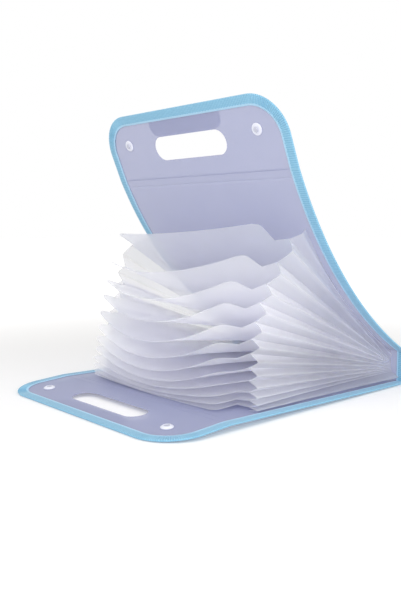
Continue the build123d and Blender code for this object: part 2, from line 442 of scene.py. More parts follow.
@dataclass(frozen=True)
class Sag:
    """How far each divider hangs below its flat place at the end of its tab, in millimetres.

    Attributes:
        near: Sag at the near corner of each tab.
        middle: Sag half way between the gussets.
        far: Sag at the far corner of each tab.
        growth: Power by which the sag grows from the spine to the tab.
    """

    near: tuple[float, ...] = (5.5, 11.5, 13, 11.5, 11, 9.5, 7, 6, 5, 5, 5, 6.5)
    middle: tuple[float, ...] = (17, 35, 38, 38, 37, 34, 30, 25, 19, 14, 10, 7.5)
    far: tuple[float, ...] = (19, 26, 23, 18, 16, 13, 10, 7, 6, 5, 4, 3.5)
    growth: float = 1.7

    def at(self, layout: Layout, number: int, length: Array, across: Array) -> Array:
        """Sag of points of a divider.

        Args:
            layout: The folder's layout.
            number: Divider, 1 next to the front cover.
            length: Lengths from the hinge line.
            across: Y of the points.

        Returns:
            Distances below the flat divider.
        """
        near, middle, far = (row[number - 1] * MM for row in (self.near, self.middle, self.far))
        edge = layout.tab_reach
        lean = (far - near) / (2 * edge)
        curve = ((far + near) / 2 - middle) / edge**2
        hang = middle + lean * across + curve * across**2
        share = np.clip(length / layout.leaf_length, 0, None)
        return np.clip(hang, 0, None) * share**self.growth


@dataclass(frozen=True)
class Drift:
    """How far the hanging film is drawn sideways at the end of its tabs, in millimetres.

    Attributes:
        near: Distance that the near edge of each divider moves out.
        far: Distance that the far edge of each tab moves in.
        squeeze: Share of the margin beside the far edge of a tab that is drawn in.
        growth: Power by which the drift grows from the spine to the tab.
    """

    near: tuple[float, ...] = (9, 6, 1, -1.5, -2.5, -3.5, -4, -4.5, -4, -4, -4, -4)
    far: tuple[float, ...] = (4, 8, 10.5, 10.5, 9.5, 8.5, 6, 5, 1, 0, 0, 0)
    squeeze: float = 0.7
    growth: float = 1.2

    def at(self, layout: Layout, number: int, length: Array, across: Array) -> Array:
        """Y of points of a divider once they are drawn sideways.

        Args:
            layout: The folder's layout.
            number: Divider, 1 next to the front cover.
            length: Lengths from the hinge line.
            across: Y of the points of the flat divider.

        Returns:
            Y of the points.
        """
        out, drawn = self.near[number - 1] * MM, self.far[number - 1] * MM
        share = np.clip(length / layout.leaf_length, 0, 1) ** self.growth
        near = across * (1 + out / layout.leaf_reach * share)
        inner = np.clip(across, None, layout.tab_reach)
        margin = (across - inner) * (1 - self.squeeze * share)
        far = inner * (1 - drawn / layout.tab_reach * share) + margin
        return np.where(across < 0, near, far)


class Nodes:
    """A node tree that is filled node by node.

    Args:
        tree: The tree.
    """

    def __init__(self, tree: bpy.types.NodeTree) -> None:
        """Take the tree."""
        self.tree = tree

    def socket(self, label: str, kind: str, in_out: str = "INPUT") -> Any:
        """Add a socket to the outside of a group."""
        kind = f"NodeSocket{kind}"
        return self.tree.interface.new_socket(label, in_out=in_out, socket_type=kind)

    def feed(self, socket: Any, value: Any) -> None:
        """Fill an input.

        Args:
            socket: The input.
            value: Output to link it to, or its value.
        """
        if isinstance(value, bpy.types.NodeSocket):
            self.tree.links.new(value, socket)
        else:
            socket.default_value = value

    def put(self, kind: str, inputs: dict[Any, Any] | None = None, **settings: Any) -> Any:
        """Add a node.

        Args:
            kind: Blender's name of the node type.
            inputs: What fills each input, by the input's name or number.
            settings: Properties of the node.

        Returns:
            The node's outputs.
        """
        node = self.tree.nodes.new(kind)
        for label, value in settings.items():
            setattr(node, label, value)
        for label, value in (inputs or {}).items():
            self.feed(node.inputs[label], value)
        return node.outputs

    def calc(self, operation: str, *values: Any) -> Any:
        """Add a sum of sockets and numbers and give its output."""
        return self.put("ShaderNodeMath", dict(enumerate(values)), operation=operation)[0]

    def wave(self, place: Any, pitch: Any) -> Any:
        """Add a sine wave of a pitch along a place and give its output, from -1 to 1."""
        turns = self.calc("DIVIDE", place, pitch)
        return self.calc("SINE", self.calc("MULTIPLY", turns, 2 * math.pi))

    def noise(self, place: Any, scale: Any) -> Any:
        """Add a noise of a scale and give its output, from 0 to 1."""
        return self.put("ShaderNodeTexNoise", {"Vector": place, "Scale": scale})["Fac"]

    def mix(self, share: Any, first: Any, second: Any) -> Any:
        """Add a mix of two colours, with a share of the second, and give its output."""
        inputs = {MIX_SHARE: share, MIX_FIRST: first, MIX_SECOND: second}
        return self.put("ShaderNodeMix", inputs, data_type="RGBA")[MIX_RESULT]

    def bump(self, height: Any, depth: float, strength: float) -> Any:
        """Add a relief of a depth in metres and give its normal."""
        inputs = {"Strength": strength, "Distance": depth, "Height": height}
        return self.put("ShaderNodeBump", inputs)["Normal"]


class Effect(Nodes):
    """A shader node group with named sockets.

    Args:
        name: Name of the group.
        inputs: Default of each input, by name. None makes it a vector.
        outputs: Names of the outputs, which are numbers.
    """

    def __init__(self, name: str, inputs: dict[str, Any], outputs: Sequence[str]) -> None:
        """Make the group and its sockets."""
        super().__init__(bpy.data.node_groups.new(name, "ShaderNodeTree"))
        for label, default in inputs.items():
            socket = self.socket(label, "Vector" if default is None else "Float")
            if default is not None:
                socket.default_value = default
        for label in outputs:
            self.socket(label, "Float", "OUTPUT")
        self.inputs = self.put("NodeGroupInput")


@functools.cache
def plastic_grain() -> bpy.types.NodeTree:
    """Fine moulded grain and slow cloudiness of a plastic surface.

    Returns:
        Group with the outputs Height and Cloud, both from 0 to 1.
    """
    scales = {"Grain Scale": 900.0, "Cloud Scale": 14.0}
    group = Effect("Plastic Grain", scales, ("Height", "Cloud"))
    place = group.put("ShaderNodeTexCoord")["Object"]
    height, cloud = (group.noise(place, group.inputs[label]) for label in scales)
    group.put("NodeGroupOutput", {"Height": height, "Cloud": cloud})
    return group.tree


@functools.cache
def tape_weave() -> bpy.types.NodeTree:
    """Ribbed weave along a tape, from its own UV map in metres.

    Returns:
        Group with the outputs Height and Shade, both from 0 to 1. Shade is painted shade, darker between the
        ribs, with random fibre tone mixed in.
    """
    sizes = {
        "Tape UV": None,
        "Rib Pitch": 1.9 * MM,
        "Thread Pitch": 1.6 * MM,
        "Thread Share": 0.4,
        "Fibre Scale": 420.0,
        "Fibre Share": 0.4,
    }
    group = Effect("Tape Weave", sizes, ("Height", "Shade"))
    parts = group.put("ShaderNodeSeparateXYZ", {0: group.inputs["Tape UV"]})
    ribs, threads = (
        group.calc("MULTIPLY_ADD", group.wave(parts[axis], group.inputs[pitch]), 0.5, 0.5)
        for axis, pitch in (("X", "Rib Pitch"), ("Y", "Thread Pitch"))
    )
    ribbed = group.calc("SUBTRACT", 1.0, group.inputs["Thread Share"])
    threaded = group.calc("MULTIPLY_ADD", threads, group.inputs["Thread Share"], ribbed)
    height = group.calc("MULTIPLY", ribs, threaded)
    fibres = group.noise(group.inputs["Tape UV"], group.inputs["Fibre Scale"])
    plain = group.calc("SUBTRACT", 1.0, group.inputs["Fibre Share"])
    shade = group.calc("MULTIPLY", fibres, group.inputs["Fibre Share"])
    # Tone follows the rib height: painted shade between the ribs, plus random fibre tone.
    shade = group.calc("MULTIPLY_ADD", height, plain, shade)
    group.put("NodeGroupOutput", {"Height": height, "Shade": shade})
    return group.tree


class Paint(Nodes):
    """A material with one Principled shader.

    Args:
        name: Name of the material.
        values: What fills the shader's inputs, with underscores for spaces in their names.
    """

    def __init__(self, name: str, **values: Any) -> None:
        """Make the material and its shader."""
        self.material = bpy.data.materials.new(name)
        self.material.use_nodes = True
        super().__init__(self.material.node_tree)
        self.fill(**values)

    def fill(self, **values: Any) -> None:
        """Fill inputs of the shader.

        Args:
            values: What fills them, with underscores for spaces in their names.
        """
        shader = self.tree.nodes["Principled BSDF"]
        for label, value in values.items():
            self.feed(shader.inputs[label.replace("_", " ")], value)


@dataclass(frozen=True)
class PlasticFinish:
    """Moulded plastic with a fine grain and slow clouds.

    Attributes:
        name: Name of the material.
        pale: Colour where the plastic is cloudy.
        deep: Colour where it is clear.
        roughness: Roughness of the surface.
        alpha: How much of the light one face stops.
        coat: Weight of the gloss coat.
        cloud_scale: Scale of the clouds.
        grain_depth: Depth of the grain.
        grain_strength: Strength of the grain.
    """

    name: str
    pale: Colour
    deep: Colour
    roughness: float
    alpha: float
    coat: float
    cloud_scale: float
    grain_depth: float
    grain_strength: float

    def material(self) -> Material:
        """Build the material.

        Returns:
            The material.
        """
        paint = Paint(
            self.name, Roughness=self.roughness, Alpha=self.alpha, Coat_Weight=self.coat
        )
        scale = {"Cloud Scale": self.cloud_scale}
        grain = paint.put("ShaderNodeGroup", scale, node_tree=plastic_grain())
        paint.fill(
            Base_Color=paint.mix(grain["Cloud"], self.deep, self.pale),
            Normal=paint.bump(grain["Height"], self.grain_depth, self.grain_strength),
        )
        return paint.material


@dataclass(frozen=True)
class CoverFinish(PlasticFinish):
    """Translucent tinted cover sheet."""

    name: str = "tinted_sheet"
    pale: Colour = tint(179, 183, 214)
    deep: Colour = tint(168, 174, 208)
    roughness: float = 0.42
    alpha: float = 0.62
    coat: float = 0.0
    cloud_scale: float = 14.0
    grain_depth: float = 0.05 * MM
    grain_strength: float = 0.25


@dataclass(frozen=True)
class StudFinish(PlasticFinish):
    """Glossy white moulded plastic of the press studs."""

    name: str = "stud_plastic"
    pale: Colour = tint(236, 237, 246)
    deep: Colour = tint(222, 224, 238)
    roughness: float = 0.28
    alpha: float = 1.0
    coat: float = 0.3
    cloud_scale: float = 160.0
    grain_depth: float = 0.03 * MM
    grain_strength: float = 0.15


@dataclass(frozen=True)
class FilmFinish:
    """Frosted clear film, whiter along its folds by stress whitening and a painted highlight, and hazier
    where it is handled.

    Attributes:
        name: Name of the material.
        alpha: How much of the light the film stops at the pocket mouth.
        inner_alpha: The same deep in a pocket, where the film is not scuffed.
        scatter_length: How far light goes inside the film, more than its thickness.
        scatter: Share of the light that scatters inside the film.
        body: Colour of the film.
        fold: Colour of a folded edge, whiter as stress whitening and a painted highlight.
        fold_gain: How much more light a fold stops, which whitens it as stress whitening and a painted
            highlight.
        cloud_gain: How much more light the cloudiest film stops than the clearest.
        roughness: Roughness of the surface.
        grain_depth: Depth of the grain.
        grain_strength: Strength of the grain.
    """

    name: str
    alpha: float
    inner_alpha: float
    scatter_length: float = 30 * MM
    scatter: float = 1.0
    body: Colour = tint(249, 249, 254)
    fold: Colour = tint(253, 253, 255)
    fold_gain: float = 0.08
    cloud_gain: float = 0.12
    roughness: float = 0.4
    grain_depth: float = 0.04 * MM
    grain_strength: float = 0.2

    def material(self) -> Material:
        """Build the material. Light meets the film once, where it enters it.

        Returns:
            The material.
        """
        paint = Paint(
            self.name,
            Roughness=self.roughness,
            Subsurface_Weight=self.scatter,
            Subsurface_Radius=WHITE[:3],
            Subsurface_Scale=self.scatter_length,
        )
        grain = paint.put("ShaderNodeGroup", node_tree=plastic_grain())
        crease, haze = (
            paint.put("ShaderNodeAttribute", attribute_name=label)["Fac"]
            for label in ("fold_line", "haze")
        )
        clearest = self.inner_alpha - self.cloud_gain / 2
        stopped = paint.calc("MULTIPLY_ADD", grain["Cloud"], self.cloud_gain, clearest)
        stopped = paint.calc("MULTIPLY_ADD", haze, self.alpha - self.inner_alpha, stopped)
        # Folds stop more light and look whiter: stress whitening and a painted highlight.
        stopped = paint.calc("MULTIPLY_ADD", crease, self.fold_gain, stopped)
        inside = paint.put("ShaderNodeNewGeometry")["Backfacing"]
        entering = paint.calc("SUBTRACT", 1.0, inside)
        paint.fill(
            # Folds get a whiter colour: stress whitening and a painted highlight.
            Base_Color=paint.mix(crease, self.body, self.fold),
            Alpha=paint.calc("MULTIPLY", stopped, entering),
            Normal=paint.bump(grain["Height"], self.grain_depth, self.grain_strength),
        )
        return paint.material


@dataclass(frozen=True)
class TapeFinish:
    """Ribbed woven tape with a paler selvedge, painted darker between the ribs as shade.

    Attributes:
        high: Colour of the top of a rib, the light side of the painted rib shade.
        low: Colour between the ribs: painted shade in the grooves.
        selvedge: Colour of the woven edge.
        selvedge_width: Width of the woven edge.
        selvedge_share: Share of its own colour that the woven edge shows.
        roughness: Roughness of the cloth.
        sheen: Weight of the cloth's sheen.
        rib_depth: Depth of the weave.
        rib_strength: Strength of the weave.
    """

    high: Colour = tint(156, 206, 229)
    low: Colour = tint(104, 164, 198)
    selvedge: Colour = tint(176, 212, 235)
    selvedge_width: float = 2.2 * MM
    selvedge_share: float = 0.8
    roughness: float = 0.7
    sheen: float = 0.25
    rib_depth: float = 0.25 * MM
    rib_strength: float = 0.6

    def material(self) -> Material:
        """Build the material.

        Returns:
            The material.
        """
        paint = Paint("woven_tape", Roughness=self.roughness, Sheen_Weight=self.sheen)
        lay = paint.put("ShaderNodeUVMap", uv_map="tape")["UV"]
        weave = paint.put("ShaderNodeGroup", {"Tape UV": lay}, node_tree=tape_weave())
        girth = paint.put("ShaderNodeSeparateXYZ", {0: lay})["Y"]
        rim = paint.calc("LESS_THAN", girth, self.selvedge_width)
        rim = paint.calc("MULTIPLY", rim, self.selvedge_share)
        # Darker between the ribs: painted shade in the grooves of the weave.
        cloth = paint.mix(weave["Shade"], self.low, self.high)
        paint.fill(
            Base_Color=paint.mix(rim, cloth, self.selvedge),
            Normal=paint.bump(weave["Height"], self.rib_depth, self.rib_strength),
        )
        return paint.material


@dataclass(frozen=True)
class ThreadFinish:
    """Twisted sewing thread.

    Attributes:
        light: Colour of the top of a strand.
        dark: Colour between the strands.
        strand_scale: Scale of the strands.
        roughness: Roughness of the thread.
    """

    light: Colour = tint(190, 226, 245)
    dark: Colour = tint(140, 195, 226)
    strand_scale: float = 2600.0
    roughness: float = 0.6

    def material(self) -> Material:
        """Build the material.

        Returns:
            The material.
        """
        paint = Paint("sewing_thread", Roughness=self.roughness)
        strands = paint.noise(paint.put("ShaderNodeTexCoord")["Object"], self.strand_scale)
        paint.fill(Base_Color=paint.mix(strands, self.dark, self.light))
        return paint.material


def new_piece(name: str, data: bpy.types.ID) -> Piece:
    """Link a mesh, a lamp or a camera into the scene as an object at the origin.

    Args:
        name: Name of the object.
        data: What the object shows.

    Returns:
        The new object.
    """
    piece = bpy.data.objects.new(name, data)
    bpy.context.scene.collection.objects.link(piece)
    return piece


def new_mesh(name: str, points: Any, edges: list[Any], faces: list[Any]) -> Mesh:
    """Make a mesh.

    Args:
        name: Name of the mesh.
        points: Points in X, Y and Z.
        edges: Numbers of the points of each loose edge.
        faces: Numbers of the points of each face.

    Returns:
        The new mesh.
    """
    mesh = bpy.data.meshes.new(name)
    mesh.from_pydata(np.asarray(points).tolist(), edges, faces)
    return mesh


def set_points(mesh: Mesh, label: str, values: Array) -> None:
    """Store a number on each point of a mesh."""
    layer = mesh.attributes.get(label) or mesh.attributes.new(label, "FLOAT", "POINT")
    layer.data.foreach_set("value", np.asarray(values, np.float32).ravel())


def get_points(mesh: Mesh, label: str) -> Array:
    """Read the numbers that the points of a mesh carry.

    Args:
        mesh: The mesh.
        label: Name of the attribute.

    Returns:
        One number for each point.
    """
    values = np.zeros(len(mesh.vertices), np.float32)
    mesh.attributes[label].data.foreach_get("value", values)
    return values


def coordinates(mesh: Mesh) -> Array:
    """Read the points of a mesh.

    Args:
        mesh: The mesh.

    Returns:
        Points in X, Y and Z.
    """
    values = np.zeros(len(mesh.vertices) * 3, np.float32)
    mesh.vertices.foreach_get("co", values)
    return values.reshape(-1, 3).astype(float)


def face_outwards(mesh: Mesh, merge: float = 0.0) -> None:
    """Turn the faces of a mesh the same way and shade them smoothly.

    Args:
        mesh: The mesh.
        merge: Distance within which its points are merged first.
    """
    shape = bmesh.new()
    shape.from_mesh(mesh)
    if merge:
        bmesh.ops.remove_doubles(shape, verts=shape.verts, dist=merge)
    bmesh.ops.recalc_face_normals(shape, faces=shape.faces)
    shape.to_mesh(mesh)
    shape.free()
    mesh.shade_smooth()


def finished(piece: Piece) -> Piece:
    """Turn a piece and its modifiers into a plain mesh.

    Args:
        piece: Object with modifiers.

    Returns:
        The same object with the evaluated mesh and no modifier.
    """
    graph = bpy.context.evaluated_depsgraph_get()
    mesh = bpy.data.meshes.new_from_object(
        piece.evaluated_get(graph), preserve_all_data_layers=True, depsgraph=graph
    )
    piece.modifiers.clear()
    piece.data = mesh
    return piece


def thin_sheet(
    name: str,
    points: Array,
    wall: float,
    layers: dict[str, Array] | None = None,
    used: Array | None = None,
) -> Piece:
    """Make a closed thin sheet from a grid of points on its middle.

    Args:
        name: Name of the piece.
        points: Grid of points, rows by columns by three.
        wall: Thickness of the sheet.
        layers: Numbers for each grid point, by attribute name.
        used: Which cells of the grid are part of the sheet, where not all are.

    Returns:
        The new object.
    """
    rows, columns = points.shape[:2]
    index = np.arange(rows * columns).reshape(rows, columns)
    cells = np.stack([index[:-1, :-1], index[1:, :-1], index[1:, 1:], index[:-1, 1:]], axis=-1)
    faces = cells.reshape(-1, 4) if used is None else cells[used]
    kept, flat = np.unique(faces, return_inverse=True)
    mesh = new_mesh(name, points.reshape(-1, 3)[kept], [], flat.reshape(-1, 4).tolist())
    for label, values in (layers or {}).items():
        set_points(mesh, label, values.reshape(-1)[kept])
    face_outwards(mesh, MERGE)
    piece = new_piece(name, mesh)
    shell = piece.modifiers.new("wall", "SOLIDIFY")
    shell.thickness = wall
    shell.offset = 0.0
    finished(piece).data.set_sharp_from_angle(angle=SHARP)
    return piece


def bend_with(
    piece: Piece, still: str, moving: str, layout: Layout, weights: Array | None = None
) -> None:
    """Let each point of a piece turn by its own share of a joint.

    Args:
        piece: The finished piece.
        still: Body that the piece follows at weight 0.
        moving: Body that it follows at weight 1.
        layout: The folder's layout, whose hinge gives a direction along the piece.
        weights: Weight of each point, where the points don't carry their own turn.
    """
    if weights is None:
        weights = get_points(piece.data, "turn")
    start = Vector((layout.hinge[0], 0.0, layout.hinge[1]))
    end = Vector((layout.front_crease[0], 0.0, layout.front_crease[1]))
    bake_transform(piece, still, moving, start=start, end=end)
    set_points(piece.data, "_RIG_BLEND", np.clip(weights, 0, 1))


def dress(piece: Piece, material: Material) -> None:
    """Give a piece its finish.

    Args:
        piece: The piece.
        material: Its finish.
    """
    piece.data.materials.clear()
    piece.data.materials.append(material)
    LOG.info("%s: %d faces", piece.name, len(piece.data.polygons))


@dataclass
class FrontCover:
    """Bent front cover sheet, from the hinge to the fold crease.

    Attributes:
        layout: The folder's layout.
        finish: Finish of the sheet.
        rows: Rows of points along the sheet, beside those of the score line.
        columns: Columns of points across the sheet.
        hinge_gap: Gap to the hinge.
        crease_gap: Gap to the fold crease.
        side_gap: Gap to the outside of the tape.
        score_spacing: Distance of the score line from the crease.
        score_half: Half the width of the score line.
        score_depth: Depth of the score line.
        score_margin: Distance from the score line to the next rows.
    """

    layout: Layout
    finish: Material
    rows: int = 48
    columns: int = 12
    hinge_gap: float = 0.1 * MM
    crease_gap: float = 0.2 * MM
    side_gap: float = 0.6 * MM
    score_spacing: float = 8 * MM
    score_half: float = 0.5 * MM
    score_depth: float = 0.25 * MM
    score_margin: float = 1.5 * MM

    def build(self) -> None:
        """Build the sheet and let it flatten as the cover shuts."""
        layout = self.layout
        score = layout.panel - self.score_spacing
        even = np.linspace(self.hinge_gap, layout.panel - self.crease_gap, self.rows)
        even = even[np.abs(even - score) > self.score_margin]
        marks = score + np.array([-1, 0, 1]) * self.score_half
        lengths = np.sort(np.concatenate([even, marks]))
        inset = layout.half_width - self.side_gap
        across = np.linspace(-inset, inset, self.columns)
        run, width = np.meshgrid(lengths, across, indexing="ij")
        dent = np.where(np.abs(run - score) < self.score_half / 2, self.score_depth, 0.0)
        points = in_space(layout.on_front(run, -dent), width)
        piece = thin_sheet("front_cover_sheet", points, layout.sheet_wall)
        weights = layout.front_turn_at(coordinates(piece.data))
        bend_with(piece, "back_cover", "front_cover", layout, weights)
        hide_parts("front_cover")
        dress(piece, self.finish)


@dataclass
class CreaseWeb:
    """Thinned sheet in the fold crease between a cover and its flap.

    Attributes:
        layout: The folder's layout.
        finish: Finish of the sheet.
        reach: Distance that the web runs into the sheet on each side of the crease.
        side_gap: Gap to the outside of the tape.
        wall: Thickness of the web.
        rows: Cells along the web.
    """

    layout: Layout
    finish: Material
    reach: float = 0.6 * MM
    side_gap: float = 0.7 * MM
    wall: float = 0.4 * MM
    rows: int = 6

    def build(self, cover: Cover) -> None:
        """Build the web of one cover and let it bend between the cover and the flap.

        Args:
            cover: The cover.
        """
        layout = self.layout
        past = np.linspace(-self.reach, self.reach, self.rows + 1)
        section, _ = layout.on_cover(layout.panel + past, cover)
        inset = layout.half_width - self.side_gap
        points = in_space(section[:, None], np.array([-inset, inset]))
        layers = {"turn": eased(past, self.reach)[:, None].repeat(2, axis=1)}
        piece = thin_sheet(f"{cover.value}_crease_web", points, self.wall, layers)
        bend_with(piece, f"{cover.value}_cover", f"{cover.value}_flap", layout)
        dress(piece, self.finish)


@dataclass
class GripFold:
    """Cut-out of a grip slot, folded back over the outside of its flap.

    Attributes:
        layout: The folder's layout.
        finish: Finish of the sheet.
        slot_length: Length of the slot along the spine.
        slot_height: Height of the slot.
        slot_from_end: Distance of the slot's middle from the grip end.
        clear_edge: Width of the flap's edge that stays free of the fold.
        walls_below: Walls from the middle of the flap to the outer face of its packed fold.
        wall: Thickness of the fold's outer skin.
        gap: Gap between the skin and the sheet below it.
        rows: Cells along the flap.
        columns: Cells across the flap.
    """

    layout: Layout
    finish: Material
    slot_length: float = 100 * MM
    slot_height: float = 23.5 * MM
    slot_from_end: float = 37.4 * MM
    clear_edge: float = 10.5 * MM
    walls_below: float = 1.5
    wall: float = 0.1 * MM
    gap: float = 0.02 * MM
    rows: int = 10
    columns: int = 16

    def build(self, cover: Cover) -> None:
        """Build the fold of one flap.

        Args:
            cover: The cover that the flap belongs to.
        """
        layout = self.layout
        end = layout.grip_end
        bend = self.slot_height / 2
        middle = end - self.slot_from_end + self.slot_height
        along = np.linspace(middle - bend, end - self.clear_edge, self.rows + 1)
        round_end = np.sqrt(np.clip(bend**2 - (along - middle) ** 2, 0, None))
        reach = self.slot_length / 2 - bend + round_end
        section, rise = layout.on_cover(along, cover)
        outward = above(rise) * (1 if cover is Cover.FRONT else -1)
        lift = self.walls_below * layout.sheet_wall + self.gap + self.wall / 2
        share = np.linspace(-1, 1, self.columns + 1)
        points = in_space((section + outward * lift)[:, None], reach[:, None] * share)
        piece = thin_sheet(f"{cover.value}_grip_fold", points, self.wall)
        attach(piece, f"{cover.value}_flap")
        dress(piece, self.finish)


@dataclass
class DividerFan:
    """Twelve film dividers that hang between the gussets.

    Attributes:
        layout: The folder's layout.
        sag: How the film hangs.
        drift: How the film is drawn sideways.
        finish: Finish of the upper dividers, which are lit through.
        low_finish: Finish of the lower dividers, which lie close together.
        high_count: How many dividers count as upper ones.
        wall: Thickness of the film.
        corner: Radius of a tab's corners.
        rows: Cells along the pocket.
        tab_rows: Cells along the tab.
        columns: Cells across the tab.
        margin_columns: Cells beside the tab on each side.
    """

    layout: Layout
    sag: Sag
    drift: Drift
    finish: Material
    low_finish: Material
    high_count: int = 5
    wall: float = 0.35 * MM
    corner: float = 7 * MM
    rows: int = 22
    tab_rows: int = 12
    columns: int = 36
    margin_columns: int = 3

    def _grid(self, start: float) -> tuple[Array, Array, Array]:
        """Lay out a flat divider.

        Args:
            start: Length from the hinge line to its inner edge.

        Returns:
            Lengths and Y of the grid points, and which cells are film.
        """
        depth, end = self.layout.pocket_depth, self.layout.leaf_length
        tab, side = self.layout.tab_reach, self.layout.leaf_reach
        pocket_rows = np.linspace(start, depth, self.rows + 1)
        tab_rows = np.linspace(depth, end, self.tab_rows + 1)[1:]
        inner = np.linspace(-tab, tab, self.columns + 1)
        margin = np.linspace(tab, side, self.margin_columns + 1)[1:]
        lengths = np.concatenate([pocket_rows, tab_rows])
        across = np.concatenate([-margin[::-1], inner, margin])
        run, width = np.meshgrid(lengths, across, indexing="ij")
        middle = (width[:-1, :-1] + width[1:, 1:]) / 2
        used = (run[:-1, :-1] < depth - TOLERANCE) | (np.abs(middle) < tab)
        beyond = np.clip(run - end + self.corner, 0, self.corner)
        squeeze = np.sqrt(self.corner**2 - beyond**2) / self.corner
        flat = tab - self.corner
        rounded = np.sign(width) * (flat + (np.abs(width) - flat) * squeeze)
        return run, np.where(np.abs(width) > flat, rounded, width), used

    def build(self) -> None:
        """Build every divider and let it fall flat as the folder shuts."""
        layout = self.layout
        for number, angle in enumerate(layout.leaf_angles, start=1):
            run, flat, used = self._grid(layout.leaf_start(number))
            hang = self.sag.at(layout, number, run, flat)
            width = self.drift.at(layout, number, run, flat)
            section = layout.leaf_point(number, run, hang)
            layers = {
                "turn": layout.leaf_turn(number, run, section) / angle,
                "haze": layout.scuffed(run),
                "fold_line": np.zeros_like(run),
            }
            name = f"divider_sheet_{number:02d}"
            piece = thin_sheet(name, in_space(section, width), self.wall, layers, used)
            node = f"divider_{number:02d}"
            bend_with(piece, "back_cover", node, layout)
            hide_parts(node)
            high = number <= self.high_count
            dress(piece, self.finish if high else self.low_finish)


@dataclass
class PleatedGusset:
    """Pleated film at one side, welded to the covers and to each divider.

    Attributes:
        layout: The folder's layout.
        sag: How the dividers hang.
        drift: How the dividers are drawn sideways.
        side: Side of the folder.
        finish: Finish of the film.
        wall: Thickness of the film.
        weld: Gap from a divider's edge to the inner fold.
        least_depth: Reach of the widest pleat at the pocket mouth.
        taut_depth: Least reach of a pleat that the sagging dividers pull open.
        slack_depth: Most reach of a narrow pleat, whose slack film rounds off.
        near_weld_share: Reach of the near film along the bent front cover.
        far_weld_share: The same on the far side, where the film slipped down.
        cover_start: Length from the spine to the film on a cover.
        ridge_round: Roundness of an outer fold, as a share of a pleat.
        ridge_share: Share of half a pleat that is whiter beside an outer fold, by stress whitening and a
            painted highlight.
        clear_pleats: How many pleats from the front cover down are clearer on the near side.
        clearness: How much less haze the topmost of them has.
        rows: Cells along a pleat.
        columns: Cells across a pleat.
    """

    layout: Layout
    sag: Sag
    drift: Drift
    side: Side
    finish: Material
    wall: float = 0.35 * MM
    weld: float = 0.3 * MM
    least_depth: float = 6.5 * MM
    taut_depth: float = 5.0 * MM
    slack_depth: float = 10.0 * MM
    near_weld_share: float = 0.92
    far_weld_share: float = 0.87
    cover_start: float = 1.3 * MM
    ridge_round: float = 0.12
    ridge_share: float = 0.25
    clear_pleats: float = 6.0
    clearness: float = 1.1
    rows: int = 26
    columns: int = 12

    @property
    def _weld_share(self) -> float:
        """Reach of this side's film along the bent front cover."""
        return self.near_weld_share if self.side is Side.NEAR else self.far_weld_share

    def _fold(self, leaf: int, share: Array) -> tuple[Array, Array, Array]:
        """Inner fold on a leaf.

        Args:
            leaf: 0 for the front cover, the dividers, then the back cover.
            share: Shares of the way from the spine to the pocket mouth.

        Returns:
            Points in X and Z, their Y, and their share of the front cover's fold.
        """
        layout = self.layout
        lift = layout.sheet_wall / 2 + self.wall
        edge = np.full_like(share, self.side.value * (layout.leaf_reach + self.weld))
        divider = min(max(leaf, 1), layout.count)
        start = self.cover_start if leaf != divider else layout.leaf_start(leaf)
        length = start + share * (layout.pocket_depth - start)
        if leaf == 0:
            run = length * self._weld_share
            return layout.on_front(run, np.full_like(run, lift)), edge, layout.front_turn(run)
        drawn = self.drift.at(layout, divider, length, edge)
        if leaf > layout.count:
            along = length[:, None] * radial(layout.back_tilt)
            section = layout.foot + along + lift * above(layout.back_tilt)
            return section, drawn, np.zeros_like(length)
        section = layout.leaf_point(leaf, length, self.sag.at(layout, leaf, length, edge))
        return section, drawn, layout.leaf_turn(leaf, length, section) / layout.chord_angle

    def _film_width(self) -> float:
        """Width of the film in half a pleat.

        Returns:
            The width that the widest pocket of the flat fan needs.
        """
        layout = self.layout
        mouth = np.array([layout.pocket_depth])
        flat = [layout.on_front(mouth * self.near_weld_share)]
        for number in range(1, layout.count + 1):
            flat.append(layout.leaf_point(number, mouth, np.zeros(1)))
        widest = max(float(np.linalg.norm(a - b)) for a, b in zip(flat, flat[1:]))
        return math.hypot(self.least_depth, widest / 2)

    def _haze(self, share: Array, count: int) -> Array:
        """Haze of the film, which is clearer in the upper pleats of the near side.

        Args:
            share: Shares of the way from the spine to the pocket mouth.
            count: Number of columns of points, from the front cover down.

        Returns:
            The haze of each point.
        """
        scuffed = self.layout.scuffed(share * self.layout.pocket_depth)
        pleat = np.linspace(0, self.layout.count + 1, count)
        clear = self.clearness * (1 - smooth(pleat / self.clear_pleats))
        return scuffed[:, None] - (clear if self.side is Side.NEAR else np.zeros(count))

    def build(self) -> None:
        """Build the pleats as one strip and let it close with the covers."""
        layout = self.layout
        share = np.linspace(0, 1, self.rows + 1)
        folds = [self._fold(leaf, share) for leaf in range(layout.count + 2)]
        width = self._film_width()
        columns: list[tuple[Array, ...]] = []
        top = math.hypot(1, self.ridge_round)
        for pleat, (high, low) in enumerate(zip(folds, folds[1:])):
            gap = np.linalg.norm(high[0] - low[0], axis=-1)
            half = min(gap[-1] / 2, math.sqrt(width**2 - self.taut_depth**2))
            reach = min(math.sqrt(width**2 - half**2), self.slack_depth)
            depth = self.side.value * reach * np.clip(gap / gap[-1], None, 1)
            for step in np.linspace(0, 1, self.columns + 1)[1 if pleat else 0:]:
                off_ridge = abs(2 * step - 1)
                soft = math.hypot(off_ridge, self.ridge_round)
                out = depth * (top - soft) / (top - self.ridge_round)
                section, across, turn = (a * (1 - step) + b * step for a, b in zip(high, low))
                # Film beside each outer fold is whiter: stress whitening and a painted highlight.
                ridge = max(0.0, 1 - off_ridge / self.ridge_share)
                columns.append((section, across + out, turn, np.full_like(share, ridge)))
        section, across, turn, ridge = (np.stack(rows, axis=1) for rows in zip(*columns))
        layers = {"turn": turn, "haze": self._haze(share, len(columns)), "fold_line": ridge}
        node = f"{self.side.name.lower()}_gusset"
        piece = thin_sheet(f"{node}_film", in_space(section, across), self.wall, layers)
        bend_with(piece, "back_cover", "front_cover", layout)
        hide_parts(node)
        dress(piece, self.finish)


